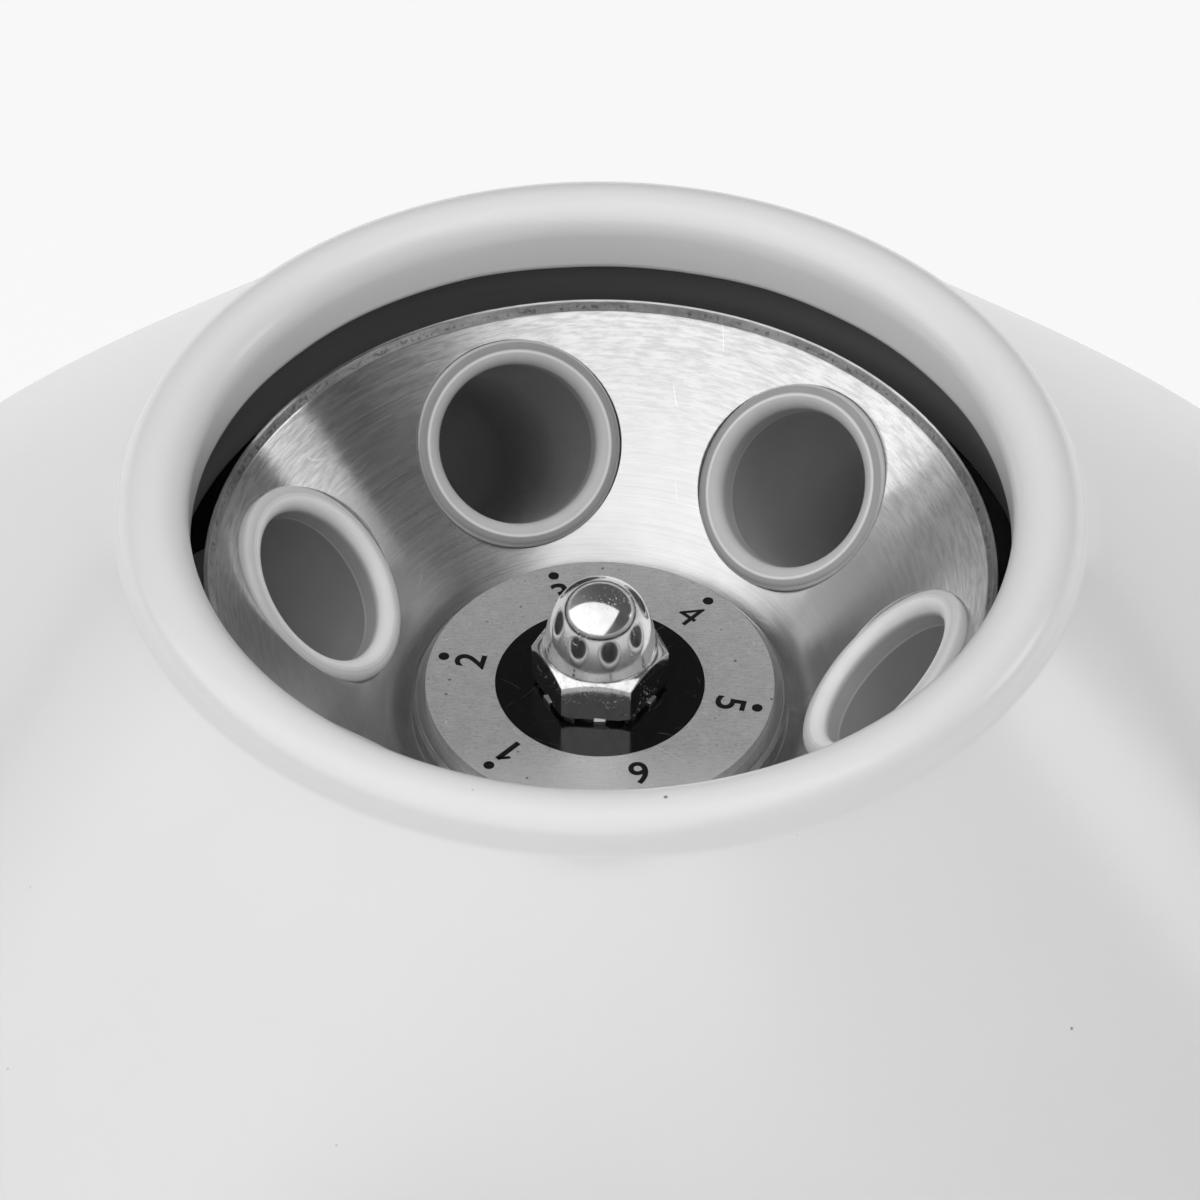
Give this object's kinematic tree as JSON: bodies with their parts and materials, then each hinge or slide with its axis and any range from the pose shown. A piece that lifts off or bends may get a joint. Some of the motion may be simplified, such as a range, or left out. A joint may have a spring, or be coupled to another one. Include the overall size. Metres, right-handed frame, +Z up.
{
  "type": "laboratory centrifuge",
  "caption": "Bench centrifuge with a bell-shaped case, a round open mouth with a rolled bead, and an angled rotor head that spins sleeves for test tubes.",
  "frame": {"origin": "in the bench plane under the spindle's axis", "axes": "+Z up along the spindle, the control panel faces -Y, +X to the right of someone who faces the panel"},
  "size_m": [0.27, 0.2946, 0.2444],
  "materials": {
    "case": "gloss",
    "base_steel": "satin",
    "rubber": "matte",
    "steel": "satin",
    "bowl": "satin",
    "head_alu": "turned",
    "disc_alu": "brushed",
    "black_gloss": "gloss",
    "nut_chrome": "polished",
    "sleeve": "satin",
    "bracket": "cast",
    "core": "matte",
    "winding": "satin",
    "brass": "satin",
    "carbon": "matte",
    "fan": "matte",
    "panel": "satin",
    "control_black": "satin",
    "works": "matte",
    "lamp": "clear",
    "board": "satin"
  },
  "bodies": {
    "base": {"hood": "case", "tray": "case", "base_plate": "base_steel", "foot_1": "rubber", "foot_2": "rubber", "foot_3": "rubber", "foot_4": "rubber", "foot_nuts": "steel", "base_screws": "steel", "pillars": "steel", "deck_plate": "base_steel", "deck_screws": "steel", "chamber_bowl": "bowl", "bowl_seal": "rubber", "neck_seal": "rubber", "upper_bracket": "bracket", "lower_bracket": "bracket", "stator_core": "core", "field_coils": "winding", "upper_bearing_race": "steel", "lower_bearing_race": "steel", "brush_holders": "brass", "carbon_brushes": "carbon", "motor_bolts": "steel", "dampers": "rubber", "damper_bolts": "steel", "control_panel": "panel", "panel_screws": "steel", "timer_body": "works", "speed_control": "works", "switch_frame": "control_black", "indicator_lamp": "lamp", "control_board": "board", "board_parts": "carbon", "board_standoffs": "works", "cable_gland": "rubber"},
    "spindle": {"motor_shaft": "steel", "armature_core": "core", "armature_winding": "winding", "commutator": "winding", "cooling_fan": "fan", "upper_bearing_core": "steel", "lower_bearing_core": "steel", "rotor_hub": "steel", "rotor_head": "head_alu", "number_disc": "disc_alu", "centre_washer": "black_gloss", "lock_washer": "steel", "cap_nut": "nut_chrome"},
    "sleeve_1": {"sleeve_1": "sleeve"},
    "sleeve_2": {"sleeve_2": "sleeve"},
    "sleeve_3": {"sleeve_3": "sleeve"},
    "sleeve_4": {"sleeve_4": "sleeve"},
    "sleeve_5": {"sleeve_5": "sleeve"},
    "sleeve_6": {"sleeve_6": "sleeve"},
    "timer_dial": {"timer_shaft": "steel", "timer_knob": "control_black"},
    "speed_dial": {"speed_shaft": "steel", "speed_knob": "control_black"},
    "power_rocker": {"switch_rocker": "control_black"}
  },
  "joints": [
    {"name": "rotor_spin", "type": "hinge", "parent": "base", "child": "spindle", "pos_m": [0, 0, 0.205], "axis": [0, 0, 1], "continuous": true},
    {"name": "sleeve_1_lift", "type": "slide", "parent": "spindle", "child": "sleeve_1", "axis": [0.4878, 0.5287, 0.6947], "range_m": [0, 0.012]},
    {"name": "sleeve_2_lift", "type": "slide", "parent": "spindle", "child": "sleeve_2", "axis": [0.7017, -0.1581, 0.6947], "range_m": [0, 0.012]},
    {"name": "sleeve_3_lift", "type": "slide", "parent": "spindle", "child": "sleeve_3", "axis": [0.2139, -0.6868, 0.6947], "range_m": [0, 0.012]},
    {"name": "sleeve_4_lift", "type": "slide", "parent": "spindle", "child": "sleeve_4", "axis": [-0.4878, -0.5287, 0.6947], "range_m": [0, 0.012]},
    {"name": "sleeve_5_lift", "type": "slide", "parent": "spindle", "child": "sleeve_5", "axis": [-0.7017, 0.1581, 0.6947], "range_m": [0, 0.012]},
    {"name": "sleeve_6_lift", "type": "slide", "parent": "spindle", "child": "sleeve_6", "axis": [-0.2139, 0.6868, 0.6947], "range_m": [0, 0.012]},
    {"name": "timer_turn", "type": "hinge", "parent": "base", "child": "timer_dial", "pos_m": [-0.045, -0.135, 0.057], "axis": [0, 1, 0], "range_deg": [0, 300]},
    {"name": "speed_turn", "type": "hinge", "parent": "base", "child": "speed_dial", "pos_m": [0.045, -0.135, 0.057], "axis": [0, 1, 0], "range_deg": [0, 270]},
    {"name": "power_rock", "type": "hinge", "parent": "base", "child": "power_rocker", "pos_m": [0, -0.1336, 0.05], "axis": [-1, 0, 0], "range_deg": [0, 18]}
  ]
}
